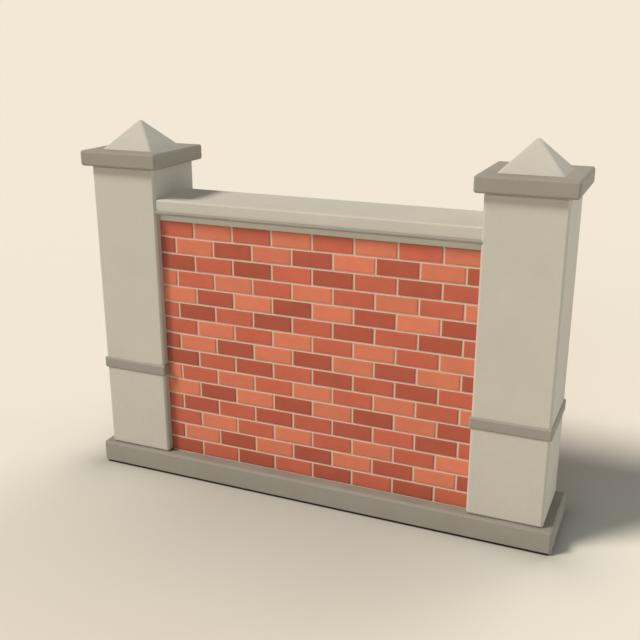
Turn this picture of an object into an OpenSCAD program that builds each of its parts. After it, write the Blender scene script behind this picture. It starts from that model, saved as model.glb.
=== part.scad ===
// Brick garden wall: one bay of coursed brickwork between two stone piers, on a stone plinth.
// Millimetres. +X runs along the wall, +Y to the back, +Z up. The origin is on the ground under the middle.

/* [Bay] */
// Clear length of brickwork between the two piers
bay_l = 1570; // [800:1:2400]

/* [Plinth] */
// Height of the plinth above the ground
plinth_h = 118; // [60:1:250]
// How far the plinth stands out in front of the piers, and behind them
plinth_proj = 19; // [4:1:80]
// How far the plinth runs on past each pier
plinth_end = 47; // [15:1:150]
// Chamfer round the head of the plinth and on its upright arrises
plinth_arris = 11; // [3:0.5:20]
// Height of the rebate round the foot of the plinth, which throws a line of shadow on the ground
rebate_h = 8; // [4:1:16]
// Depth of that rebate
rebate_back = 25; // [12:1:40]
// Chamfer over that rebate
rebate_arris = 3; // [1:0.5:6]

/* [Brickwork] */
// Number of courses
courses = 15; // [6:1:15]
// Height of a brick
brick_h = 71.8; // [50:0.1:80]
// Thickness of the bed joints between courses
bed_joint = 9.5; // [5:0.5:15]
// Thickness of the thin first bed on the plinth
first_bed = 5; // [3:0.5:20]
// Thickness of one leaf of brickwork, front to back
leaf_d = 89; // [80:1:102]
// Number of leaves
leaves = 3; // [2:1:3]
// Mortar between two leaves
collar_joint = 9.5; // [5:0.5:15]
// How far the bed joints are raked back behind the brick faces
joint_recess = 3; // [1:0.5:10]

/* [Coping] */
// Thickness of the bed course on the top course of bricks
coping_bed_h = 33; // [8:1:60]
// Thickness of the drip course
drip_h = 19; // [16:1:40]
// How far the faces of the drip course lie behind the pier faces
drip_back = 0.5; // [0:0.5:12]
// Chamfer along the drip course
drip_arris = 7; // [2:0.5:8]
// Thickness of the coping slab
coping_h = 53; // [30:1:120]
// How far the faces of the coping slab lie behind those of the drip course
coping_back = 10; // [4:1:30]
// Chamfer along the top of the coping slab
coping_arris = 7; // [2:0.5:20]

/* [Piers] */
// Width of a pier along the wall
pier_w = 346; // [250:1:500]
// Depth of a pier, front to back
pier_d = 363; // [300:1:520]
// Height of the shaft below the band
lower_shaft_h = 424; // [300:1:800]
// Height of the shaft above the band
upper_shaft_h = 985; // [880:1:1600]
// Chamfer on the arrises of the shafts
shaft_arris = 10; // [2:0.5:20]
// Height of the band
band_h = 56; // [25:1:150]
// How far the band stands out from the shaft
band_proj = 8; // [3:1:40]
// Chamfer round the band
band_arris = 7; // [2:0.5:12]

/* [Pier caps] */
// Thickness of the cap slab
cap_h = 73; // [30:1:140]
// How far the cap slab stands out from the shaft
cap_proj = 37; // [28:1:90]
// Chamfer round the cap slab
cap_arris = 9; // [2:0.5:12]
// Width of the throat cut under the cap's overhang, which sheds the rain
throat_w = 8; // [4:1:10]
// Depth of that throat
throat_depth = 5; // [2:1:12]
// Width of the pyramid's square foot
pyramid_w = 271; // [150:1:300]
// Height of the pyramid from its foot to its blunt top
pyramid_h = 131; // [60:1:260]
// Width of the blunt top
pyramid_tip = 14; // [4:1:40]
// Width of the chamfers down the pyramid's four hips
pyramid_arris = 10; // [2:0.5:14]

/* [Hidden] */
wall_d = leaves * leaf_d + (leaves - 1) * collar_joint;
course_h = brick_h + bed_joint;
drip_d = pier_d - 2 * drip_back;
coping_d = drip_d - 2 * coping_back;
pier_x = (bay_l + pier_w) / 2;
plinth_l = bay_l + 2 * pier_w + 2 * plinth_end;
plinth_d = pier_d + 2 * plinth_proj;

brickwork_h = first_bed + courses * brick_h + (courses - 1) * bed_joint;
brickwork_top_z = plinth_h + brickwork_h;
drip_z = brickwork_top_z + coping_bed_h;
coping_z = drip_z + drip_h;

band_z = plinth_h + lower_shaft_h;
upper_shaft_z = band_z + band_h;
cap_z = upper_shaft_z + upper_shaft_h;
pyramid_z = cap_z + cap_h;

pale_stone = "#beb5a1";
dark_stone = "#948a78";
brick_red = "#b85f49";

SIDES = ["left", "right"];
PIER_PIECES = ["lower_shaft", "band", "upper_shaft", "cap", "pyramid"];

function course_name(i) = str("course_", i < 10 ? "0" : "", i);
function piece_name(side, piece) = str(side, "_pier_", piece);

// Outline of a block's section: centred on X, standing on Y = 0, with its foot and head corners cut off.
module section(w, h, foot, head) {
    polygon([
        [-w / 2 + foot, 0],
        [w / 2 - foot, 0],
        [w / 2, foot],
        [w / 2, h - head],
        [w / 2 - head, h],
        [-w / 2 + head, h],
        [-w / 2, h - head],
        [-w / 2, foot]
    ]);
}

// A section carried along X, centred.
module along_x(l) {
    rotate([90, 0, 90])
        linear_extrude(l, center = true)
            children();
}

// A section carried along Y, centred.
module along_y(l) {
    rotate([90, 0, 0])
        linear_extrude(l, center = true)
            children();
}

// A dressed stone: three sections crossed, so that every chamfer is mitred at the corners.
module dressed_stone(w, d, h, side, foot, head) {
    intersection() {
        linear_extrude(h)
            translate([0, -d / 2])
                section(w, d, side, side);
        along_x(w)
            section(d, h, foot, head);
        along_y(d)
            section(w, h, foot, head);
    }
}

// The plinth stands on a foot that is set back in a rebate all round.
module plinth() {
    foot_l = plinth_l - 2 * rebate_back;
    foot_d = plinth_d - 2 * rebate_back;
    color(dark_stone) {
        linear_extrude(2 * rebate_h)
            square([foot_l, foot_d], center = true);
        translate([0, 0, rebate_h])
            dressed_stone(plinth_l, plinth_d, plinth_h - rebate_h, plinth_arris, rebate_arris, plinth_arris);
    }
}

// One course: the bricks stand proud of the raked bed joint under them. The first bed is thinner.
module course(i) {
    bed = i == 1 ? first_bed : bed_joint;
    foot_z = plinth_h + (i == 1 ? 0 : first_bed + (i - 1) * course_h - bed_joint);
    bed_half = wall_d / 2 - joint_recess;
    face_half = wall_d / 2;
    color(brick_red)
        translate([0, 0, foot_z])
            along_x(bay_l)
                polygon([
                    [-bed_half, 0],
                    [bed_half, 0],
                    [bed_half, bed],
                    [face_half, bed],
                    [face_half, bed + brick_h],
                    [-face_half, bed + brick_h],
                    [-face_half, bed],
                    [-bed_half, bed]
                ]);
}

module coping_bed() {
    color(pale_stone)
        translate([0, 0, brickwork_top_z])
            along_x(bay_l)
                section(wall_d - 2 * joint_recess, coping_bed_h, 0, 0);
}

module drip_course() {
    color(dark_stone)
        translate([0, 0, drip_z])
            along_x(bay_l)
                section(drip_d, drip_h, drip_arris, drip_arris);
}

module coping() {
    color(pale_stone)
        translate([0, 0, coping_z])
            along_x(bay_l)
                section(coping_d, coping_h, 0, coping_arris);
}

module lower_shaft() {
    color(pale_stone)
        translate([0, 0, plinth_h])
            dressed_stone(pier_w, pier_d, lower_shaft_h, shaft_arris, shaft_arris, 0);
}

// The band goes round the shaft and stops against the brick faces, so it is cut back to the shaft between them.
module band() {
    band_w = pier_w + 2 * band_proj;
    band_d = pier_d + 2 * band_proj;
    color(dark_stone)
        translate([0, 0, band_z])
            difference() {
                dressed_stone(band_w, band_d, band_h, band_arris, band_arris, band_arris);
                translate([-pier_w / 2 - band_proj - 1, -wall_d / 2, -1])
                    cube([band_proj + 1, wall_d, band_h + 2]);
            }
}

module upper_shaft() {
    color(pale_stone)
        translate([0, 0, upper_shaft_z])
            dressed_stone(pier_w, pier_d, upper_shaft_h, shaft_arris, 0, shaft_arris);
}

// The throat is a square groove halfway between the shaft and the foot chamfer of the overhang.
module cap() {
    cap_w = pier_w + 2 * cap_proj;
    cap_d = pier_d + 2 * cap_proj;
    throat_in = (cap_proj - cap_arris - throat_w) / 2;
    throat_out = throat_in + throat_w;
    color(dark_stone)
        translate([0, 0, cap_z])
            difference() {
                dressed_stone(cap_w, cap_d, cap_h, cap_arris, cap_arris, cap_arris);
                translate([0, 0, -1])
                    linear_extrude(throat_depth + 1)
                        difference() {
                            square([pier_w + 2 * throat_out, pier_d + 2 * throat_out], center = true);
                            square([pier_w + 2 * throat_in, pier_d + 2 * throat_in], center = true);
                        }
            }
}

// Triangular section of the pyramid, cut off flat at the tip.
module gable(w, tip) {
    polygon([[-w / 2, 0], [w / 2, 0], [tip / 2, pyramid_h], [-tip / 2, pyramid_h]]);
}

// Two gables crossed make the pyramid, and two more crossed on its diagonals take off the hips.
// The blunt top is a regular octagon, so it is as wide across the hips as across the faces.
module pyramid() {
    hip_w = pyramid_w * sqrt(2) - pyramid_arris;
    hip_tip = pyramid_tip;
    color(pale_stone)
        translate([0, 0, pyramid_z])
            intersection() {
                along_x(pyramid_w)
                    gable(pyramid_w, pyramid_tip);
                along_y(pyramid_w)
                    gable(pyramid_w, pyramid_tip);
                rotate([0, 0, 45])
                    along_x(pyramid_w * 2)
                        gable(hip_w, hip_tip);
                rotate([0, 0, 45])
                    along_y(pyramid_w * 2)
                        gable(hip_w, hip_tip);
            }
}

// The pier's pieces are drawn for the right pier, with the bay on their -X side. The left pier mirrors them.
module at_pier(side) {
    mirror([side == "left" ? 1 : 0, 0, 0])
        translate([pier_x, 0, 0])
            children();
}

module pier_piece(piece) {
    if (piece == "lower_shaft") lower_shaft();
    if (piece == "band") band();
    if (piece == "upper_shaft") upper_shaft();
    if (piece == "cap") cap();
    if (piece == "pyramid") pyramid();
}

plinth();
for (i = [1 : courses])
    course(i);
coping_bed();
drip_course();
coping();
for (side = SIDES, piece = PIER_PIECES)
    at_pier(side)
            pier_piece(piece);
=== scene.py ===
"""Looks for a brick garden wall: one bay of brickwork between two stone piers, on a stone plinth.

Everything is in metres. +X runs along the wall, +Y to the back, +Z up, and the origin is on the ground.
A stone is made of rings with softened corners: its plan stacked up a profile, or a section run along X.
Each brick is a small ring loft of its own, set in mortar joints that are tooled a little hollow.
"""

import logging
import math
from collections.abc import Sequence
from dataclasses import dataclass, field, replace
from enum import Enum
from functools import cached_property

import bmesh
import bpy
import numpy as np
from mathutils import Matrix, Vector


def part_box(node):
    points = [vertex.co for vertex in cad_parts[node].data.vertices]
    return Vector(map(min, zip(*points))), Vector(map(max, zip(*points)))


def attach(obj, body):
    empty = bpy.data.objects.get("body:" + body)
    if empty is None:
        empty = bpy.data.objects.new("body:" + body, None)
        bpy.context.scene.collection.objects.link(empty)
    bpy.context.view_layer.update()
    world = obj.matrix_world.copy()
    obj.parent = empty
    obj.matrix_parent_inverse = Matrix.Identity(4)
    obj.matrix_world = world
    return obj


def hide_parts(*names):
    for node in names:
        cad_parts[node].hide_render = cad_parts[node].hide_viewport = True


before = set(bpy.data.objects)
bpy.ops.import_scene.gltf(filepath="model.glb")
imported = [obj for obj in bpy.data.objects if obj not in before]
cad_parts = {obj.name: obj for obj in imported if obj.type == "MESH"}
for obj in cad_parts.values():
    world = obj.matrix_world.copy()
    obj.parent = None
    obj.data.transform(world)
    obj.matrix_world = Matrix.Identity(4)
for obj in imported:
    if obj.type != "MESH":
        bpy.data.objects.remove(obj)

Array = np.ndarray
Rgb = tuple[float, float, float]
Object = bpy.types.Object
Node = bpy.types.Node
Socket = bpy.types.NodeSocket
Feed = Socket | float | Sequence[float]

BODY = "root"
LOG = logging.getLogger("garden_wall")

# Faces meet smoothly below this angle, and points nearer than this become one.
SHARP_ANGLE = math.radians(38)
WELD = 1e-6

# Stone arrises: exponent of their curve, and steps in it. The third value makes the curve a quarter round.
SOFTNESS = 1.22
ARRIS_STEPS = 6
QUARTER_ROUND = 2.0

# Along a stone's faces: the longest step, the short one beside an arris, and the rings of a level face.
SPACING = 0.07
FIRST_STEP = 0.0015
LEVEL_RINGS = 4

# Ways outwards from the four sides of a rectangle, and ways along them, anticlockwise from the front.
SIDES = np.array([(0, -1), (1, 0), (0, 1), (-1, 0)], float)
ALONG = np.roll(SIDES, -1, axis=0)

# From this share on a way outwards is square to a side, and below this cosine a slope is level.
SQUARE = 0.999
LEVEL = 0.01

LAMP_DISTANCE = 10.0
WARM = (1.0, 0.96, 0.905)
COOL = (0.83, 0.93, 1.0)


class Side(Enum):
    """The two ends of the bay, as the sign of X."""

    LEFT = -1
    RIGHT = 1


class Tone(Enum):
    """The three firings of brick, palest first. The mesh stores a tone as its place in this order."""

    LIGHT = "ce7558"
    MEDIUM = "bd6049"
    DARK = "a7523e"


def shaded(code: str, factor: float = 1.0) -> tuple[float, float, float, float]:
    """Turns a hex colour into the linear one that shaders take, and multiplies it by a factor.

    The sRGB curve is c / 12.92 in the dark and ((c + 0.055) / 1.055) ** 2.4 above it.

    Args:
        code: Six hex digits, red first.
        factor: Factor of red, green and blue.

    Returns:
        Red, green, blue, and the alpha that colour sockets need.
    """
    levels = np.frombuffer(bytes.fromhex(code), dtype=np.uint8) / 255
    curve = np.where(levels <= 0.04045, levels / 12.92, ((levels + 0.055) / 1.055) ** 2.4)
    return (*(curve * factor).tolist(), 1.0)


class NodeSheet:
    """Lays and joins the shader nodes of a material or of the world."""

    # A mix node's two colours and its result, by their places among sockets that share their names.
    MIX_LOW, MIX_HIGH, MIX_RESULT = 6, 7, 2

    def __init__(self, owner: bpy.types.Material | bpy.types.World) -> None:
        """Starts on an empty sheet.

        Args:
            owner: Material or world that the nodes belong to.
        """
        owner.use_nodes = True
        self.tree = owner.node_tree
        self.tree.nodes.clear()

    def add(self, kind: str, feeds: dict[int | str, Feed] | None = None, **settings: object) -> Node:
        """Adds a node.

        Args:
            kind: Type of the node, without the words that all types start with.
            feeds: What each input takes, a socket or a value, by the input's name or place.
            settings: Properties of the node.

        Returns:
            The node.
        """
        node = self.tree.nodes.new("ShaderNode" + kind)
        for key, value in settings.items():
            setattr(node, key, value)
        for key, value in (feeds or {}).items():
            if isinstance(value, Socket):
                self.tree.links.new(value, node.inputs[key])
            else:
                node.inputs[key].default_value = value
        return node

    def end(self, shader: Node, kind: str = "Material") -> None:
        """Ends the sheet in a shader."""
        self.add("Output" + kind, {"Surface": shader.outputs[0]})

    def place(self) -> Socket:
        """Object coordinates, which are metres in the wall's own frame."""
        return self.add("TexCoord").outputs["Object"]

    def attribute(self, name: str) -> Socket:
        """A number stored on the mesh under this name."""
        return self.add("Attribute", attribute_name=name).outputs["Fac"]

    def maths(self, operation: str, *values: Socket | float, clamp: bool = False) -> Socket:
        """One step of arithmetic on numbers."""
        return self.add("Math", dict(enumerate(values)), operation=operation, use_clamp=clamp).outputs[0]

    def upward(self) -> Socket:
        """How far a surface faces up: 1 on a level top, 0 on an upright face and below."""
        parts = self.add("SeparateXYZ", {0: self.add("TexCoord").outputs["Normal"]})
        return self.maths("MAXIMUM", parts.outputs["Z"], 0.0)

    def beyond(self, value: Socket, limit: float) -> Socket:
        """How far a number lies beyond plus or minus a limit."""
        return self.maths("MAXIMUM", self.maths("SUBTRACT", self.maths("ABSOLUTE", value), limit), 0.0)

    def squared(self, value: Socket) -> Socket:
        """The square of a number."""
        return self.maths("MULTIPLY", value, value)

    def decay(self, value: Socket) -> Socket:
        """exp(-value)."""
        return self.maths("EXPONENT", self.maths("MULTIPLY", value, -1.0))

    def noise(self, place: Socket, per_metre: float, detail: float = 2.0, rough: float = 0.5) -> Socket:
        """Smooth noise from 0 to 1.

        Args:
            place: Coordinates to read.
            per_metre: Lumps in a metre.
            detail: Number of finer layers.
            rough: Strength of each finer layer.

        Returns:
            The noise socket, with its mean at a half.
        """
        feeds = {"Vector": place, "Scale": per_metre, "Detail": detail, "Roughness": rough}
        return self.add("TexNoise", feeds).outputs["Fac"]

    def specks(self, place: Socket, per_metre: float, radius: float, share: float) -> Socket:
        """Scattered round specks: 1 inside a speck, 0 outside.

        A cell of a Voronoi pattern has a speck where its random value is under the share. The speck's edge
        is soft over half its radius.

        Args:
            place: Coordinates to read.
            per_metre: Cells in a metre.
            radius: Radius of a speck, in cells.
            share: Share of the cells that have one.

        Returns:
            The mask socket.
        """
        cells = self.add("TexVoronoi", {"Vector": place, "Scale": per_metre}).outputs
        value = self.add("SeparateColor", {0: cells["Color"]}).outputs[0]
        edge = self.ramp(cells["Distance"], radius, radius * 0.5)
        return self.maths("MULTIPLY", self.maths("LESS_THAN", value, share), edge)

    def ramp(self, value: Socket, start: float, end: float) -> Socket:
        """A smooth rise from 0 at start to 1 at end."""
        feeds = {"Value": value, "From Min": start, "From Max": end}
        return self.add("MapRange", feeds, interpolation_type="SMOOTHSTEP").outputs["Result"]

    def scaled(self, value: Socket, low: float, high: float) -> Socket:
        """Stretches 0..1 to low..high."""
        feeds = {"Value": value, "To Min": low, "To Max": high}
        return self.add("MapRange", feeds, interpolation_type="LINEAR", clamp=False).outputs["Result"]

    def summed(self, *terms: tuple[Socket, float]) -> Socket:
        """Adds centred noises, each times its weight, to a half.

        Args:
            terms: Pairs of a noise socket and its weight.

        Returns:
            A half plus each weight times (noise - a half), clamped to 0..1.
        """
        total: Socket | float = 0.5 - 0.5 * sum(weight for _, weight in terms)
        for value, weight in terms:
            total = self.maths("MULTIPLY_ADD", value, weight, total)
        return self.maths("ADD", total, 0.0, clamp=True)

    def mix(self, factor: Socket | float, low: Feed, high: Feed, blend: str = "MIX") -> Socket:
        """Blends two colours by a factor."""
        feeds = {0: factor, self.MIX_LOW: low, self.MIX_HIGH: high}
        return self.add("Mix", feeds, data_type="RGBA", blend_type=blend).outputs[self.MIX_RESULT]

    def marked(self, colour: Feed, mask: Socket, strength: float, mark: Feed) -> Socket:
        """Lays a second colour over the first at this strength, where the mask is 1."""
        return self.mix(self.maths("MULTIPLY", mask, strength), colour, mark)

    def dented(self, height: Socket, mask: Socket, depth: float) -> Socket:
        """Lowers a height by this depth where the mask is 1."""
        return self.maths("SUBTRACT", height, self.maths("MULTIPLY", mask, depth))

    def looking(self) -> Socket:
        """Tells looking from lighting.

        Returns:
            1 where a thing is looked at, straight or in gloss or glass, and 0 where it lights another.
        """
        ways = self.add("LightPath").outputs
        seen = self.maths("MAXIMUM", ways["Is Camera Ray"], ways["Is Glossy Ray"])
        return self.maths("MAXIMUM", seen, ways["Is Transmission Ray"])

    def mineral(self, colour: Socket, grain: Socket, height: Socket, depth: float,
                rough: tuple[float, float], specular: float) -> None:
        """Ends the sheet in a plain mineral surface.

        Args:
            colour: Base colour.
            grain: Noise that the roughness follows.
            height: Height of the relief, from 0 to 1.
            depth: Real depth of the relief, in metres.
            rough: Roughness where the grain is 0 and where it is 1.
            specular: Specular level, the same all over.
        """
        self.end(self.add("BsdfPrincipled", {
            "Base Color": colour,
            "Roughness": self.scaled(grain, *rough),
            "Normal": self.add("Bump", {"Distance": depth, "Height": height}).outputs["Normal"],
            "Specular IOR Level": specular,
        }))


@dataclass(frozen=True)
class Finish:
    """What all finishes share: a name, a material slot in the record, and one material, made once."""

    name: str
    slot: str

    @cached_property
    def material(self) -> bpy.types.Material:
        """The finish's material, laid when it is first asked for.

        Returns:
            The material.
        """
        material = bpy.data.materials.new(self.name)
        self.lay(NodeSheet(material))
        return material

    def lay(self, sheet: NodeSheet) -> None:
        """Lays the finish's nodes. Each kind of finish has its own."""
        raise NotImplementedError


@dataclass(frozen=True)
class StoneFinish(Finish):
    """Rubbed building stone: soft clouds, a fine even grain and a few small pits.

    Its tops are lighter where painted_top_shading is above 0, painted light, and darker where it is below,
    painted shade.
    """

    colour: str
    cloud: float = 0.045
    grain: float = 0.09
    pit_share: float = 0.10
    worn_arris: float = 0.02
    painted_top_shading: float = 0.20
    relief_depth: float = 0.00035

    def lay(self, sheet: NodeSheet) -> None:
        """Lays clouds and grain, then worn arrises, pits and painted top shading: painted light on the
        tops, painted shade where the factor is below 0.

        Args:
            sheet: Empty sheet of the material.
        """
        place = sheet.place()
        clouds = sheet.noise(place, per_metre=5.0, detail=3.0)
        patches = sheet.noise(place, per_metre=38.0, detail=3.0)
        grain = sheet.noise(place, per_metre=650.0)
        pits = sheet.specks(place, per_metre=240.0, radius=0.34, share=self.pit_share)
        spread = self.cloud + self.grain
        blend = sheet.summed(
            (clouds, self.cloud / spread * 1.2),
            (patches, self.cloud / spread * 0.8),
            (grain, self.grain / spread),
        )
        colour = sheet.mix(blend, shaded(self.colour, 1 - spread), shaded(self.colour, 1 + spread))
        uneven = sheet.scaled(patches, low=0.4, high=1.0)
        arris = sheet.maths("MULTIPLY", sheet.attribute("arris"), uneven)
        colour = sheet.marked(colour, arris, self.worn_arris, mark=shaded(self.colour, factor=1.9))
        colour = sheet.marked(colour, pits, strength=0.30, mark=shaded(self.colour, factor=0.55))
        # Painted light on faces that look up, as the lamps would give them; painted shade where the factor
        # is below 0.
        top_shading = sheet.maths("MULTIPLY_ADD", sheet.upward(), self.painted_top_shading, 1.0)
        colour = sheet.add("VectorMath", {0: colour, "Scale": top_shading}, operation="SCALE").outputs[0]
        height = sheet.dented(sheet.summed((grain, 0.45), (patches, 0.35)), pits, depth=0.5)
        sheet.mineral(colour, grain, height, self.relief_depth, rough=(0.78, 0.92), specular=0.28)


@dataclass(frozen=True)
class BrickFinish(Finish):
    """Sand-faced fired clay: each brick has its tone, soft fire marks, sand grain and dark specks."""

    name: str = "fired_brick"
    slot: str = "brickwork"
    fire_mark: float = 0.07
    brick_to_brick: float = 0.035
    sand: float = 0.10
    speck_share: float = 0.07
    relief_depth: float = 0.0005
    move_by_seed: tuple[float, float, float] = (3.1, 7.7, 5.3)
    drag_stretch: tuple[float, float, float] = (0.12, 1.0, 1.0)

    def lay(self, sheet: NodeSheet) -> None:
        """Lays the three tones, then fire marks and sand, with the pattern moved on from brick to brick.

        Args:
            sheet: Empty sheet of the material.
        """
        seed, tone = sheet.attribute("seed"), sheet.attribute("tone")
        steps = [sheet.maths("MULTIPLY", seed, step) for step in self.move_by_seed]
        shift = sheet.add("CombineXYZ", dict(enumerate(steps))).outputs[0]
        place = sheet.add("VectorMath", {0: sheet.place(), 1: shift}, operation="ADD").outputs[0]
        dragged = sheet.add("VectorMath", {0: place, 1: self.drag_stretch}, operation="MULTIPLY").outputs[0]
        colour, *darker = (shaded(tone.value) for tone in Tone)
        for level, shade in enumerate(darker):
            colour = sheet.mix(sheet.maths("GREATER_THAN", tone, level + 0.5), colour, shade)
        marks = sheet.noise(place, per_metre=13.0, detail=3.0, rough=0.55)
        drag = sheet.noise(dragged, per_metre=260.0)
        sand = sheet.noise(place, per_metre=700.0)
        specks = sheet.specks(place, per_metre=300.0, radius=0.30, share=self.speck_share)
        spread = self.fire_mark + self.sand + self.brick_to_brick
        blend = sheet.summed(
            (marks, self.fire_mark / spread * 1.6),
            (sand, self.sand / spread),
            (seed, self.brick_to_brick / spread * 2),
        )
        shade = sheet.mix(blend, shaded("ffffff", 1 - spread), shaded("ffffff", 1 + spread))
        colour = sheet.mix(1.0, colour, shade, "MULTIPLY")
        colour = sheet.marked(colour, specks, strength=0.45, mark=shaded(Tone.DARK.value, factor=0.35))
        height = sheet.dented(sheet.summed((sand, 0.45), (drag, 0.25), (marks, 0.5)), specks, depth=0.25)
        sheet.mineral(colour, sand, height, self.relief_depth, rough=(0.72, 0.92), specular=0.25)


@dataclass(frozen=True)
class MortarFinish(Finish):
    """Lime mortar: sharp sand in a pale paste."""

    name: str = "lime_mortar"
    slot: str = "mortar"
    colour: str = "ccb199"
    sand: float = 0.12
    relief_depth: float = 0.0006

    def lay(self, sheet: NodeSheet) -> None:
        """Lays clouds and sand, then scattered grit.

        Args:
            sheet: Empty sheet of the material.
        """
        place = sheet.place()
        clouds = sheet.noise(place, per_metre=16.0, detail=3.0)
        sand = sheet.noise(place, per_metre=520.0, detail=3.0, rough=0.6)
        grit = sheet.specks(place, per_metre=330.0, radius=0.36, share=0.12)
        blend = sheet.summed((clouds, 0.5), (sand, 0.9))
        colour = sheet.mix(blend, shaded(self.colour, 1 - self.sand), shaded(self.colour, 1 + self.sand))
        colour = sheet.marked(colour, grit, strength=0.35, mark=shaded(self.colour, factor=0.62))
        height = sheet.summed((sand, 0.8), (clouds, 0.4))
        sheet.mineral(colour, sand, height, self.relief_depth, rough=(0.82, 0.95), specular=0.2)


PALE_STONE = StoneFinish("pale_limestone", "pale_stone", "bcb6a8")
# A paler copy of the pale stone: painted light on the bed course, which lies in the drip's shadow.
PAINTED_LIGHT_BED_STONE = replace(PALE_STONE, name="bed_limestone_painted_light", colour="c9c3b2")
DARK_STONE = StoneFinish(
    "dark_gritstone", "dark_stone", "928c80", cloud=0.05, grain=0.11, pit_share=0.14, painted_top_shading=0.16
)
# The plinth's copy has painted shade on its tops instead of painted light.
PLINTH_STONE = replace(DARK_STONE, name="plinth_gritstone", painted_top_shading=-0.06)
BRICK = BrickFinish()
MORTAR = MortarFinish()


def softened_turn(steps: int, softness: float) -> Array:
    """Points of a quarter turn on the curve |u| ** p + |v| ** p = 1, from (1, 0) to (0, 1).

    With p = 1 it is a flat chamfer and with p = 2 a quarter round. The points are u = cos(a) ** (2 / p)
    and v = sin(a) ** (2 / p), for even steps of a.

    Args:
        steps: Number of steps in the turn.
        softness: The exponent p.

    Returns:
        A row of u and v for each point.
    """
    angle = np.linspace(0, math.pi / 2, steps + 1)
    return np.stack([np.cos(angle), np.sin(angle)], -1).clip(0, 1) ** (2 / softness)


def stations(length: float, spacing: float, support: float) -> Array:
    """Places along a straight edge, without its ends.

    Args:
        length: Length of the edge.
        spacing: Longest step wanted. The steps are even.
        support: Distance of the first and last place from the ends.

    Returns:
        Rising distances from the start of the edge.
    """
    inner = length - 2 * support
    count = max(1, math.ceil(inner / spacing))
    return support + np.linspace(0, inner, count + 1)


def raised(flat: Array, third: Array | float) -> Array:
    """Gives points on two axes their value on a third axis, which may be the same for a whole ring."""
    third = np.broadcast_to(third, flat.shape[:-1])
    return np.concatenate([flat, third[..., None]], axis=-1)


@dataclass(frozen=True)
class Outline:
    """A rectangle with softened corners: points of a core, each with its way outwards and its reach.

    The full outline is core + reach * outward. The last array has 1 for each point of a softened corner.
    """

    core: Array
    outward: Array
    reach: Array
    turned: Array

    @classmethod
    def rectangle(cls, low: Sequence[float], high: Sequence[float], reaches: Sequence[float],
                  softness: float = SOFTNESS, spacing: float = SPACING,
                  support: float = FIRST_STEP) -> "Outline":
        """Walks round the rectangle, anticlockwise from its lowest corner.

        A corner of reach r turns about a core point that lies r in from both its sides. The stations of the
        next side follow it.

        Args:
            low: Lowest corner.
            high: Highest corner.
            reaches: Width that each corner's chamfer takes off its sides, or 0 where it is square.
            softness: Exponent of the chamfers' curve.
            spacing: Longest step along a side.
            support: First and last step of a side.

        Returns:
            The outline.
        """
        corners = np.array([low, (high[0], low[1]), high, (low[0], high[1])], float)
        starts = corners + np.array(reaches)[:, None] * (ALONG - np.roll(ALONG, 1, axis=0))
        lengths = ((np.roll(starts, -1, axis=0) - starts) * ALONG).sum(axis=1)
        core, outward, reach, turned = [], [], [], []
        for k, own in enumerate(reaches):
            turn = softened_turn(ARRIS_STEPS, softness) if own else softened_turn(steps=1, softness=1.0)
            steps = stations(lengths[k], spacing, support)
            core += [np.tile(starts[k], (len(turn), 1)), starts[k] + np.outer(steps, ALONG[k])]
            outward += [turn @ SIDES[[k - 1, k]], np.tile(SIDES[k], (len(steps), 1))]
            reach.append(np.full(len(turn) + len(steps), own))
            turned += [np.full(len(turn), float(own > 0)), np.zeros(len(steps))]
        return cls(*(np.concatenate(rows) for rows in (core, outward, reach, turned)))

    @property
    def slanted(self) -> Array:
        """1 on the points that face no side squarely, which leaves out both ends of each turn."""
        return (np.abs(self.outward).max(axis=1) < SQUARE).astype(float)


@dataclass(frozen=True)
class Wear:
    """Slow unevenness of a hand-dressed face, always inwards, so that the stone keeps its full size.

    Slow and quick waves are each given as their number and the lowest and highest scale of a wave vector.
    """

    seed: int
    face: float = 0.0004
    arris: float = 0.0010
    slow_waves: tuple[int, float, float] = (7, 9.0, 34.0)
    quick_waves: tuple[int, float, float] = (5, 60.0, 130.0)
    last_phase: float = 6.28

    def depth(self, points: Array, arris: Array) -> Array:
        """How far each point lies in from the true surface.

        The depth is face * (1 + mean of slow sines) / 2, and on the arrises another arris * (mean of quick
        sines) ** 2 where that mean is above 0, over plane waves with seeded directions and phases.

        Args:
            points: Places, by ring, place in the ring, and axis.
            arris: 1 on a chamfer, 0 on a face.

        Returns:
            The depth of each point.
        """
        source = np.random.default_rng(self.seed)
        waves = [
            source.normal(size=(3, count)) * source.uniform(least, most, count)
            for count, least, most in (self.slow_waves, self.quick_waves)
        ]
        slow, quick = (
            np.sin(points @ wave + source.uniform(0, self.last_phase, wave.shape[1])).mean(axis=-1)
            for wave in waves
        )
        return self.face * (1 + slow) / 2 + self.arris * arris * np.clip(quick, 0, 1) ** 2


def mesh_object(name: str, points: Array, faces: list[list[int]], marks: dict[str, Array]) -> Object:
    """Makes an object at the origin from points and faces.

    Args:
        name: Name of the piece.
        points: Places, with the three axes last.
        faces: Point numbers of each face.
        marks: Numbers to store on the points, by name.

    Returns:
        The object, with its doubled points merged and its surface smooth up to SHARP_ANGLE.
    """
    mesh = bpy.data.meshes.new(name)
    mesh.from_pydata(points.reshape(-1, 3).tolist(), [], faces)
    for key, values in marks.items():
        attribute = mesh.attributes.new(key, "FLOAT", "POINT")
        attribute.data.foreach_set("value", values.astype(np.float32).ravel())
    work = bmesh.new()
    work.from_mesh(mesh)
    bmesh.ops.remove_doubles(work, verts=work.verts, dist=WELD)
    bmesh.ops.dissolve_degenerate(work, edges=work.edges, dist=WELD)
    bmesh.ops.recalc_face_normals(work, faces=work.faces)
    work.to_mesh(mesh)
    work.free()
    mesh.shade_smooth()
    mesh.set_sharp_from_angle(angle=SHARP_ANGLE)
    obj = bpy.data.objects.new(name, mesh)
    bpy.context.scene.collection.objects.link(obj)
    return obj


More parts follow.
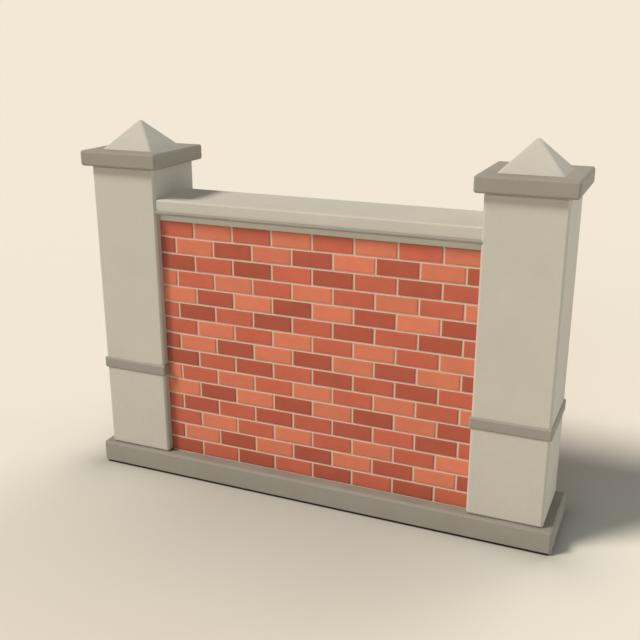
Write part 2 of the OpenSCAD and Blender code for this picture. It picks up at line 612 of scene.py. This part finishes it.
def belt_faces(rings: int, around: int) -> list[list[int]]:
    """Quads between stacked closed rings.

    Face (i, j) joins points j and j + 1 of ring i to the same points of ring i + 1, wrapping round.

    Args:
        rings: Number of rings.
        around: Points in a ring.

    Returns:
        Four point numbers a face.
    """
    numbers = np.arange(rings * around).reshape(rings, around)
    following = np.roll(numbers, -1, axis=1)
    quads = np.stack([numbers[:-1], following[:-1], following[1:], numbers[1:]], -1)
    return quads.reshape(-1, 4).tolist()


def worn_loft(name: str, rings: Array, normals: Array, arris: Array, seed: int,
              worn: slice = slice(None)) -> Object:
    """Wears rings of points down along their normals, and joins them into one surface.

    Args:
        name: Name of the piece.
        rings: Points by ring, place in the ring, and axis.
        normals: Way outwards at each point.
        arris: 1 for each point on a chamfer, 0 on a face.
        seed: Seed of the wear.
        worn: Rings that are worn. The others, which close the ends or seat the foot, keep their place.

    Returns:
        The piece, still without a finish.
    """
    arris = np.broadcast_to(arris, rings.shape[:2])
    depth = Wear(seed).depth(rings, arris)[..., None]
    points = rings.copy()
    points[worn] -= (normals * depth)[worn]
    return mesh_object(name, points, belt_faces(*arris.shape), {"arris": arris})


def settle(piece: Object, finish: Finish, *nodes: str) -> Object:
    """Dresses a finished piece and ties it to the frame.

    Args:
        piece: The piece.
        finish: Its finish.
        nodes: Nodes of the frame that it stands for.

    Returns:
        The piece.
    """
    piece.data.materials.append(finish.material)
    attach(piece, BODY)
    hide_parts(*nodes)
    LOG.info("%s: %d faces, for %s", piece.name, len(piece.data.polygons), ", ".join(nodes))
    return piece


@dataclass(frozen=True)
class Box:
    """Lowest and highest corner of a node of the frame."""

    low: Array
    high: Array

    @classmethod
    def of(cls, node: str) -> "Box":
        """Reads the box of a node."""
        low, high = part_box(node)
        return cls(np.array(low), np.array(high))

    @property
    def size(self) -> Array:
        """Size along X, Y and Z."""
        return self.high - self.low

    @property
    def foot(self) -> Array:
        """Middle of the underside."""
        return np.array((*(self.low + self.high)[:2] / 2, self.low[2]))


@dataclass
class Stone:
    """A dressed block in the place of a node: rings of its plan, stacked up its profile.

    The profile runs from the middle of the foot round to the middle of the head. Each row is one ring: how
    far the plan's core is drawn in, the reach beyond it, the height, the slope of its normal above the
    horizontal, and 1 on a chamfer.
    """

    node: str
    arris: float
    rows: list[tuple[float, float, float, float, float]] = field(default_factory=list)

    def __post_init__(self) -> None:
        """Reads the node's box. A ring that is drawn in by middle closes on the stone's middle line."""
        self.box = Box.of(self.node)
        self.height = self.box.size[2]
        self.core = self.box.size[:2] / 2 - self.arris
        self.middle = self.core.min()

    def flat(self, insets: Sequence[float], height: float, up: bool = False) -> None:
        """Adds level rings that face down, or up."""
        slope = math.pi / 2 if up else -math.pi / 2
        self.rows += [(inset, 0.0, height, slope, 0.0) for inset in insets]

    def turn(self, width: float, height: float, up: bool = False) -> None:
        """Adds the arris between a level face and the upright one.

        Args:
            width: Width that its chamfer takes off each face, or 0 for a square edge.
            height: Height of the level face.
            up: True at the head, False at the foot.
        """
        if not width:
            self.rows.append((0.0, self.arris, height, 0.0, 0.0))
            return
        way = 1 if up else -1
        u, v = softened_turn(ARRIS_STEPS, SOFTNESS)[::way].T
        reaches = self.arris - width + width * u
        heights = height - way * width * (1 - v)
        slopes = way * np.arctan2(v, u)
        self.rows += [(0.0, *ring, 1.0) for ring in zip(reaches, heights, slopes)]

    def rise(self, low: float, chamfered: bool = True, rings: int = LEVEL_RINGS) -> "Stone":
        """Adds the upright face, the arris of the head, and the level head.

        Args:
            low: Height that the upright face starts from.
            chamfered: Whether the head is chamfered.
            rings: Number of level rings on the head.

        Returns:
            This stone.
        """
        width = self.arris if chamfered else 0.0
        heights = low + stations(self.height - width - low, SPACING, FIRST_STEP)
        self.rows += [(0.0, self.arris, height, 0.0, 0.0) for height in heights]
        self.turn(width, self.height, up=True)
        self.flat(np.linspace(0, self.middle, rings), self.height, up=True)
        return self

    def plain(self, foot: bool = True, head: bool = True) -> "Stone":
        """Fills the profile of a plain block.

        Args:
            foot: Whether the foot is chamfered.
            head: Whether the head is chamfered.

        Returns:
            This stone.
        """
        width = self.arris if foot else 0.0
        self.flat(np.linspace(0, self.middle, LEVEL_RINGS)[::-1], 0.0)
        self.turn(width, 0.0)
        return self.rise(width, head)

    def make(self, finish: StoneFinish, seed: int) -> Object:
        """Stacks the rings.

        The ring of a row is the plan's core, cut off inset before its ends, plus reach * outward, at that
        height. Its normals are (outward * cos(slope), sin(slope)).

        Args:
            finish: Finish of the stone.
            seed: Seed of its wear.

        Returns:
            The stone, dressed and tied to the frame.
        """
        half = self.box.size[:2] / 2
        plan = Outline.rectangle(-half, half, (self.arris,) * 4)
        inset, reach, height, slope, chamfered = np.array(self.rows).T[..., None]
        room = (self.core - np.minimum(inset, self.middle))[:, None]
        rings = np.clip(plan.core, -room, room) + reach[..., None] * plan.outward
        points = raised(rings, height) + self.box.foot
        normals = raised(np.cos(slope)[..., None] * plan.outward, np.sin(slope))
        arris = np.maximum(chamfered, plan.slanted * (np.cos(slope) > LEVEL))
        return settle(worn_loft(self.node + "_stone", points, normals, arris, seed), finish, self.node)


@dataclass
class Plinth:
    """The plinth under the bay and both piers. Its foot is set back in a rebate."""

    arris: float = 0.011
    rebate_height: float = 0.0105
    rebate_back: float = 0.025
    rebate_arris: float = 0.003
    seed: int = 3

    def build(self) -> list[Object]:
        """Builds and dresses the plinth.

        Returns:
            The piece.
        """
        stone = Stone("plinth", self.arris)
        foot = self.rebate_back - self.arris
        stone.flat([stone.middle, stone.middle / 2, foot], 0.0)
        stone.flat([foot, 0.0], self.rebate_height)
        stone.turn(self.rebate_arris, self.rebate_height)
        stone.rise(self.rebate_height + self.rebate_arris)
        return [stone.make(PLINTH_STONE, self.seed)]


@dataclass
class Pier:
    """One pier: two shaft stones with a band between them, and a cap with its pyramid."""

    side: Side
    shaft_arris: float = 0.010
    band_arris: float = 0.007
    cap_arris: float = 0.009
    throat_depth: float = 0.005
    throat_width: float = 0.008
    hip_width: float = 0.010
    hip_share: float = 0.55
    blunt_top: float = 0.014
    foot_ring: float = 0.004
    side_rings: tuple[float, float, int] = (0.03, 0.97, 22)
    dome_start: float = 0.985
    dome_steps: int = 4
    first_seed: int = 40
    seed_room: int = 10

    def node(self, piece: str) -> str:
        """Name of this pier's node for a piece."""
        return f"{self.side.name.lower()}_pier_{piece}"

    def seed(self, step: int) -> int:
        """A seed of its own for each stone."""
        return self.first_seed + self.seed_room * self.side.value + step

    def build(self) -> list[Object]:
        """Builds and dresses the pier's stones.

        Returns:
            The pieces.
        """
        lower = Stone(self.node("lower_shaft"), self.shaft_arris).plain(head=False)
        upper = Stone(self.node("upper_shaft"), self.shaft_arris).plain(foot=False)
        band = Stone(self.node("band"), self.band_arris).plain()
        return [
            lower.make(PALE_STONE, self.seed(1)),
            upper.make(PALE_STONE, self.seed(2)),
            band.make(DARK_STONE, self.seed(3)),
            self.cap(),
            self.pyramid(),
        ]

    def cap(self) -> Object:
        """Makes the cap slab, with the throat cut under its overhang.

        Returns:
            The cap.
        """
        stone = Stone(self.node("cap"), self.cap_arris)
        overhang = (stone.box.size[0] - Box.of(self.node("upper_shaft")).size[0]) / 2
        outer = (overhang - self.cap_arris - self.throat_width) / 2
        inner = outer + self.throat_width
        stone.flat([stone.middle, stone.middle / 2, inner], 0.0)
        stone.flat([inner, outer], self.throat_depth)
        stone.flat([outer, 0.0], 0.0)
        stone.turn(self.cap_arris, 0.0)
        stone.rise(self.cap_arris, rings=5)
        return stone.make(DARK_STONE, self.seed(4))

    def pyramid(self) -> Object:
        """Makes the pyramid: square rings that shrink evenly to a small domed top, with softened hips.

        At share t of the height the half width is foot * (1 - t) + tip * t. The hips' chamfer keeps its
        width until the ring is too small for it. From dome_start on, the rings follow a quarter round that
        closes on a point. Each ring stretches one outline, whose core is a square from -1 to 1.

        Returns:
            The pyramid.
        """
        node = self.node("pyramid")
        box = Box.of(node)
        foot, height, tip = box.size[0] / 2, box.size[2], self.blunt_top / 2
        levels = np.concatenate([[0.0, self.foot_ring], np.linspace(*self.side_rings), [self.dome_start]])
        dome = np.linspace(0, math.pi / 2, self.dome_steps + 1)[1:]
        slopes = foot + (tip - foot) * levels
        widths = np.concatenate([[0.0], slopes, slopes[-1] * np.cos(dome)])
        start = self.dome_start * height
        heights = np.concatenate([[0.0], levels * height, start + (height - start) * np.sin(dome)])
        share = Outline.rectangle((-2.0, -2.0), (2.0, 2.0), (1.0,) * 4, spacing=2 * SPACING)
        halves = widths[:, None, None]
        hips = np.minimum(self.hip_width / math.sqrt(2), halves * self.hip_share)
        rings = np.clip(share.core * halves, hips - halves, halves - hips) + share.outward * hips
        points = raised(rings, heights[:, None]) + box.foot
        slope = math.atan2(foot - tip, height)
        normals = raised(share.outward * math.cos(slope), math.sin(slope))
        stone = worn_loft(node + "_stone", points, normals, share.slanted, self.seed(5), worn=slice(2, -1))
        return settle(stone, PALE_STONE, node)


@dataclass
class Coping:
    """What crowns the bay: the bed course, the rounded drip course and the coping slab, run along X."""

    drip_arris: float = 0.0092
    slab_arris: float = 0.007
    housing: float = 0.0095
    first_step: float = 0.0012

    def build(self) -> list[Object]:
        """Builds and dresses the three courses, from the foot up.

        Returns:
            The pieces.
        """
        drip = (self.drip_arris, self.drip_arris)
        return [
            self.run("coping_bed", PAINTED_LIGHT_BED_STONE, seed=61, arrises=(0.0, 0.0)),
            self.run(
                "drip_course", DARK_STONE, seed=62, arrises=drip, softness=QUARTER_ROUND,
                housing=self.housing,
            ),
            self.run("coping", PALE_STONE, seed=63, arrises=(0.0, self.slab_arris)),
        ]

    def run(self, node: str, finish: StoneFinish, seed: int, arrises: tuple[float, float],
            softness: float = SOFTNESS, housing: float = 0.0) -> Object:
        """Carries a node's section along X.

        The section is a rectangle with softened arrises. Each station along X has one ring of it, and both
        ends close on their middle.

        Args:
            node: Node that the run stands for.
            finish: Its finish.
            seed: Seed of its wear.
            arrises: Chamfer of the lower and of the upper arrises.
            softness: Exponent of the arrises' curve.
            housing: How far each end runs on into the pier's own chamfer.

        Returns:
            The run, dressed and tied to the frame.
        """
        box = Box.of(node)
        _, width, height = box.size
        reaches = np.repeat(arrises, 2)
        section = Outline.rectangle(
            (-width / 2, 0.0), (width / 2, height), reaches, softness, support=self.first_step
        )
        length = box.size[0] + 2 * housing
        along = np.concatenate([[0.0], stations(length, SPACING, FIRST_STEP), [length]]) - length / 2
        along = np.pad(along, 1, mode="edge")[:, None]
        rings = np.tile(section.core + section.reach[:, None] * section.outward, (len(along), 1, 1))
        rings[[0, -1]] = (0.0, height / 2)
        points = np.roll(raised(rings, along), 1, axis=-1) + box.foot
        normals = np.roll(raised(section.outward, 0.0), 1, axis=-1)
        piece = worn_loft(node + "_run", points, normals, section.turned, seed, worn=slice(1, -1))
        return settle(piece, finish, node)


@dataclass(frozen=True)
class Course:
    """One course as it is set out: the middles of its head joints, and its bricks' tones and underside."""

    number: int
    node: str
    box: Box
    joints: Array
    tones: Array
    underside: float


@dataclass
class Brickwork:
    """The bay's brickwork: courses of bricks in running bond, front and back, in tooled mortar joints.

    The depth and the draw-in of each of face_rings, and the corner's radius, are in widths of the arris.
    """

    courses: int = 15
    brick_module: float = 0.20379
    joint: float = 0.0098
    bed_joint: float = 0.0095
    joint_recess: float = 0.0029
    bed_recess: float = 0.0034
    core_depth: float = 0.012
    lap: float = 0.0008
    bond_start: float = 0.0102
    leaf: float = 0.089
    arris: float = 0.0026
    face_rings: tuple[tuple[float, float], ...] = ((1.0, 0.0), (0.30, 0.32), (0.0, 1.0), (0.0, 4.0))
    corner: float = 1.1
    corner_room: float = 0.9
    corner_steps: int = 2
    set_back: float = 0.0003
    slack: float = 0.0006
    tilt: float = 0.00025
    waver: float = 0.00018
    tooling: float = 0.0016
    joint_steps: int = 6
    seed: int = 17

    def build(self) -> list[Object]:
        """Builds and dresses every course, from the foot up.

        Returns:
            The pieces.
        """
        pieces = []
        for number in range(1, self.courses + 1):
            course = self.set_out(number)
            pieces.append(settle(self.bricks(course), BRICK, course.node))
            pieces.append(settle(self.mortar(course), MORTAR, course.node))
        return pieces

    def set_out(self, number: int) -> Course:
        """Sets out one course.

        Joints are one brick module apart, and every other course is shifted by half a module. Counting
        along the bond, the tone steps by one a course, and odd and even bricks step apart.

        Args:
            number: Number of the course from the foot.

        Returns:
            The course.
        """
        node = f"course_{number:02d}"
        box = Box.of(node)
        row = self.courses + 1 - number
        shift = 0.0 if row % 2 else 0.5
        count = math.ceil(box.high[0] / self.brick_module) + 1
        places = self.bond_start + (np.arange(-count, count) + shift) * self.brick_module
        joints = places[np.abs(places) < box.high[0] - self.joint]
        starts = np.concatenate([joints[:1] - self.brick_module, joints])
        bricks = np.rint((starts - self.bond_start) / self.brick_module - shift).astype(int)
        tones = np.where(bricks % 2, (1 - row) % len(Tone), (2 - row) % len(Tone)).astype(float)
        brick_height = Box.of("course_02").size[2] - self.bed_joint
        return Course(number, node, box, joints, tones, box.high[2] - brick_height)

    def bricks(self, course: Course) -> Object:
        """Makes the front and back bricks of one course as closed solids in one piece.

        A brick has belts of faces between its rings, and an even face at both its ends.

        Args:
            course: The course.

        Returns:
            The bricks of the course.
        """
        source = np.random.default_rng(self.seed + course.number)
        points = np.stack([self.face_bricks(course, source, way) for way in (-1, 1)])
        count, rings, around = points.shape[1:4]
        seeds = source.uniform(0, 1, 2 * count)
        tones = np.concatenate([course.tones, np.roll(course.tones, 1)])
        marks = {"tone": np.repeat(tones, rings * around), "seed": np.repeat(seeds, rings * around)}
        starts = np.arange(2 * count)[:, None, None] * rings * around
        belts = starts + belt_faces(rings, around)
        ends = starts + np.stack([np.arange(around)[::-1], np.arange(around) + (rings - 1) * around])
        faces = [*belts.reshape(-1, 4).tolist(), *ends.reshape(-1, around).tolist()]
        return mesh_object(course.node + "_bricks", points, faces, marks)

    def face_bricks(self, course: Course, source: np.random.Generator, way: int) -> Array:
        """Places the rings of all bricks on one face of a course.

        A ring is the brick's outline with quarter-round corners. Going out to the face it draws in along a
        quarter round, then once more on the flat. Each brick is a little short, set back and tilted.

        Args:
            course: The course.
            source: Seeded random numbers.
            way: -1 for the front face, 1 for the back.

        Returns:
            Points by brick, ring, place in the ring, and axis.
        """
        (start, front, _), (end, back, head) = course.box.low, course.box.high
        left = np.concatenate([[start], course.joints + self.joint / 2])
        right = np.concatenate([course.joints - self.joint / 2, [end]])
        count = len(left)
        slack = source.uniform(0, self.slack, (4, count))
        tilt = source.uniform(-self.tilt, self.tilt, (2, count))
        left = left + slack[0] * (left > start + WELD)
        right = right - slack[1] * (right < end - WELD)
        level = (course.underside + head) / 2
        middle = np.stack([(left + right) / 2, np.full(count, level)], -1)[:, None, None]
        half = np.stack([right - left, head - course.underside - slack[2]], -1)[:, None, None] / 2
        depth, draw = np.array([(self.leaf, 0.0), *(np.array(self.face_rings) * self.arris)]).T
        turn = softened_turn(self.corner_steps, QUARTER_ROUND)
        corners = [SIDES[[k - 1, k]] for k in (1, 2, 3, 0)]
        outward = np.concatenate([turn @ corner for corner in corners])
        signs = np.repeat([corner.sum(axis=0) for corner in corners], len(turn), axis=0)
        room = half - draw[:, None, None]
        soft = np.minimum(self.arris * self.corner, room.min(axis=-1, keepdims=True) * self.corner_room)
        flat = middle + signs * (room - soft) + outward * soft
        flat = flat + source.normal(0, self.waver, flat.shape) * (draw > 0)[:, None, None]
        lean = (tilt.T[:, None, None] * (flat - middle) / half).sum(axis=-1)
        sink = slack[3][:, None, None] + depth[:, None]
        inwards = np.maximum(sink + lean * (depth < self.leaf)[:, None] + self.set_back, 0.0)
        face = front if way < 0 else back
        return np.stack([flat[..., 0], face - way * inwards, flat[..., 1]], -1)

    def mortar(self, course: Course) -> Object:
        """Makes the mortar of one course: its bed joint, its head joints and the core behind the bricks.

        Both faces are grids over X and Z, sewn together round their rims. Where a head joint meets a bed
        joint, the deeper of the two holds. Past the joints the face steps back inside the bricks, to
        core_depth.

        Args:
            course: The course.

        Returns:
            The mortar of the course.
        """
        (start, front, foot), (end, back, head) = course.box.low, course.box.high
        bed_top, half_joint = course.underside, self.joint / 2
        across = np.linspace(-1, 1, self.joint_steps + 1)
        edge = 1 + self.lap / half_joint
        places = course.joints[:, None] + np.concatenate([[-edge], across, [edge]]) * half_joint
        x = np.unique(np.concatenate([[start, end], places.ravel()]))
        bed = foot + (across + 1) / 2 * (bed_top - foot)
        z = np.concatenate([bed, [bed_top + self.lap, (bed_top + head) / 2, head]])
        from_joint = np.abs(x[:, None] - course.joints).min(axis=1) / half_joint
        from_bed = (z - (foot + bed_top) / 2) / ((bed_top - foot) / 2)
        depth = np.maximum(
            self.hollow(from_joint, self.joint_recess)[:, None], self.hollow(from_bed, self.bed_recess)
        )
        depth = np.where(depth > 0, depth, self.core_depth)
        grid_x, grid_z = np.meshgrid(x, z, indexing="ij")
        points = np.stack([np.stack([grid_x, y, grid_z], -1) for y in (front + depth, back - depth)])
        return mesh_object(course.node + "_mortar", points, self.sewn_grids(len(x), len(z)), {})

    def hollow(self, across: Array, recess: float) -> Array:
        """Depth of a joint: recess + tooling * (1 - s ** 2) for s from -1 to 1 across it, and 0 past it."""
        share = 1 - across ** 2
        return np.where(share < -WELD, 0.0, recess + self.tooling * share.clip(0, 1))

    def sewn_grids(self, columns: int, rows: int) -> list[list[int]]:
        """Faces of two equal grids, one behind the other, and of the rim that joins them.

        Args:
            columns: Points along X.
            rows: Points along Z.

        Returns:
            Four point numbers a face.
        """
        numbers = np.arange(columns * rows).reshape(columns, rows)
        corners = (numbers[:-1, :-1], numbers[1:, :-1], numbers[1:, 1:], numbers[:-1, 1:])
        sheet = np.stack(corners, -1).reshape(-1, 4)
        rim = np.concatenate([numbers[:, 0], numbers[-1, 1:], numbers[-2::-1, -1], numbers[0, -2:0:-1]])
        following, offset = np.roll(rim, -1), columns * rows
        sides = np.stack([rim, rim + offset, following + offset, following], -1)
        return np.concatenate([sheet, sheet[:, ::-1] + offset, sides]).tolist()


@dataclass(frozen=True)
class Lamp:
    """A soft lamp so far away that its light comes evenly from one side."""

    name: str
    azimuth: float
    elevation: float
    spread: float
    strength: float
    colour: Rgb = (1.0, 1.0, 1.0)

    def build(self) -> Object:
        """Hangs the lamp.

        It shines from (cos e * sin a, -cos e * cos a, sin e): azimuth 0 is in front of the wall and 90 to
        its right.

        Returns:
            The lamp.
        """
        a, e = math.radians(self.azimuth), math.radians(self.elevation)
        away = Vector((math.cos(e) * math.sin(a), -math.cos(e) * math.cos(a), math.sin(e)))
        data = bpy.data.lights.new(self.name, "SUN")
        data.angle = math.radians(self.spread)
        data.energy = self.strength
        data.color = self.colour
        lamp = bpy.data.objects.new(self.name, data)
        bpy.context.scene.collection.objects.link(lamp)
        lamp.location = away * LAMP_DISTANCE
        lamp.rotation_mode = "QUATERNION"
        lamp.rotation_quaternion = (-away).to_track_quat("-Z", "Y")
        return lamp


@dataclass
class Studio:
    """A pale floor with painted shadows round the wall, that fades into a pale backdrop, and plain soft
    lamps.
    """

    backdrop: str = "f2e8d5"
    floor: str = "fcf3e3"
    # Colours of painted shadow on the floor: along the wall's front, round its foot, and under the plinth's
    # overhang.
    painted_shadows: tuple[str, str, str] = ("c6cbc0", "bfbab0", "5f564a")
    front_half: float = 0.24
    front_fade: float = 1.06
    front_reach: float = 0.91
    foot_reach: float = 0.107
    lit_front: float = 0.005
    lit_end: float = 0.014
    lit_edge: float = 0.003
    floor_rings: tuple[float, ...] = (0.001, 1.0, 2.0, 4.0, 8.0, 20.0, 60.0)
    floor_sides: int = 96
    fade_start: float = 2.6
    fade_end: float = 7.5
    lamps: tuple[Lamp, ...] = (
        Lamp("key_lamp", azimuth=-49.3, elevation=46.4, spread=17.8, strength=3.01, colour=WARM),
        Lamp("fill_lamp", azimuth=-7.5, elevation=10.0, spread=42.0, strength=0.86, colour=COOL),
        Lamp("near_side_lamp", azimuth=87.0, elevation=3.5, spread=12.0, strength=0.465, colour=COOL),
        Lamp("far_side_lamp", azimuth=99.0, elevation=4.0, spread=14.0, strength=0.59, colour=COOL),
        Lamp("back_lamp", azimuth=157.5, elevation=26.0, spread=45.0, strength=1.05),
    )

    def build(self) -> None:
        """Sets up the world, the floor and the lamps."""
        self.world()
        self.ground()
        for lamp in self.lamps:
            lamp.build()

    def world(self) -> None:
        """Fills the world: the backdrop's colour where it is seen, and no light from it otherwise."""
        world = bpy.data.worlds.new("backdrop")
        bpy.context.scene.world = world
        sheet = NodeSheet(world)
        feeds = {"Color": shaded(self.backdrop), "Strength": sheet.looking()}
        sheet.end(sheet.add("Background", feeds), "World")

    def ground(self) -> None:
        """Lays the floor: a disc of rings with painted shadow round the wall, that turns clear towards its
        rim, where the backdrop shows.
        """
        angle = np.linspace(0, 2 * math.pi, self.floor_sides + 1)[:-1]
        rings = np.array(self.floor_rings)[:, None, None] * np.stack([np.cos(angle), np.sin(angle)], -1)
        floor = mesh_object("floor", raised(rings, 0.0), belt_faces(len(rings), len(angle)), {})
        material = bpy.data.materials.new("matt_floor")
        sheet = NodeSheet(material)
        distance = sheet.add("VectorMath", {0: sheet.place()}, operation="LENGTH").outputs["Value"]
        clear = sheet.ramp(distance, self.fade_start, self.fade_end)
        colour: Feed = shaded(self.floor)
        # Painted shadow: the floor is darkened where the wall's shade would fall.
        for share, shade in zip(self.painted_shadow_shares(sheet), self.painted_shadows):
            colour = sheet.mix(share, colour, shaded(shade))
        matt = sheet.add("BsdfDiffuse", {"Color": colour}).outputs[0]
        nothing = sheet.add("BsdfTransparent").outputs[0]
        faded = sheet.maths("MULTIPLY", clear, sheet.looking())
        sheet.end(sheet.add("MixShader", {0: faded, 1: matt, 2: nothing}))
        floor.data.materials.append(material)

    def painted_shadow_shares(self, sheet: NodeSheet) -> tuple[Socket, Socket, Socket]:
        """Shares of the floor's three painted shadows: along the wall, round its foot and under its
        overhang.

        With dx and dy the distances beyond the plinth's box and u = max(|x| - front_half, 0), the first is
        exp(-(u / front_fade) ** 2 - (dy / front_reach) ** 2).
        The second is exp(-hypot(dx, dy) / foot_reach).
        The third falls from 1 to 0 over lit_edge, outside a box smaller than the plinth's by lit_end at the
        ends and by lit_front at the front and back.

        Args:
            sheet: The floor's node sheet.

        Returns:
            The three shares, from 0 to 1.
        """
        half_x, half_y = Box.of("plinth").size[:2] / 2
        parts = sheet.add("SeparateXYZ", {0: sheet.place()}).outputs
        x, y = parts["X"], parts["Y"]
        out_x, out_y = sheet.beyond(x, half_x), sheet.beyond(y, half_y)
        along = sheet.squared(sheet.maths("DIVIDE", sheet.beyond(x, self.front_half), self.front_fade))
        across = sheet.squared(sheet.maths("DIVIDE", out_y, self.front_reach))
        front = sheet.decay(sheet.maths("ADD", along, across))
        distance = sheet.maths("SQRT", sheet.maths("ADD", sheet.squared(out_x), sheet.squared(out_y)))
        foot = sheet.decay(sheet.maths("DIVIDE", distance, self.foot_reach))
        lit_x, lit_y = sheet.beyond(x, half_x - self.lit_end), sheet.beyond(y, half_y - self.lit_front)
        return front, foot, sheet.ramp(sheet.maths("MAXIMUM", lit_x, lit_y), self.lit_edge, 0.0)


@dataclass(frozen=True)
class Viewpoint:
    """The camera: where it stands, which way it looks, and its lens."""

    place: tuple[float, float, float] = (1.57526, -3.72314, 2.21243)
    turn: float = 0.4024
    tilt: float = -0.3170
    lens_mm: float = 50.090

    def build(self) -> None:
        """Sets up the camera."""
        camera = bpy.data.objects.new("camera", bpy.data.cameras.new("camera"))
        camera.data.lens = self.lens_mm
        camera.location = self.place
        camera.rotation_euler = (math.pi / 2 + self.tilt, 0.0, self.turn)
        bpy.context.scene.collection.objects.link(camera)
        bpy.context.scene.camera = camera


def main() -> None:
    """Builds the wall around the frame, then the studio and the camera."""
    logging.basicConfig(level=logging.INFO, format="%(name)s: %(message)s")
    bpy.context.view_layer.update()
    bpy.context.scene.view_settings.view_transform = "Standard"
    parts = [Plinth(), Brickwork(), Coping(), *(Pier(side) for side in Side)]
    pieces = [piece for part in parts for piece in part.build()]
    LOG.info("%d pieces, %d faces", len(pieces), sum(len(piece.data.polygons) for piece in pieces))
    Studio().build()
    Viewpoint().build()


if __name__ == "__main__":
    main()
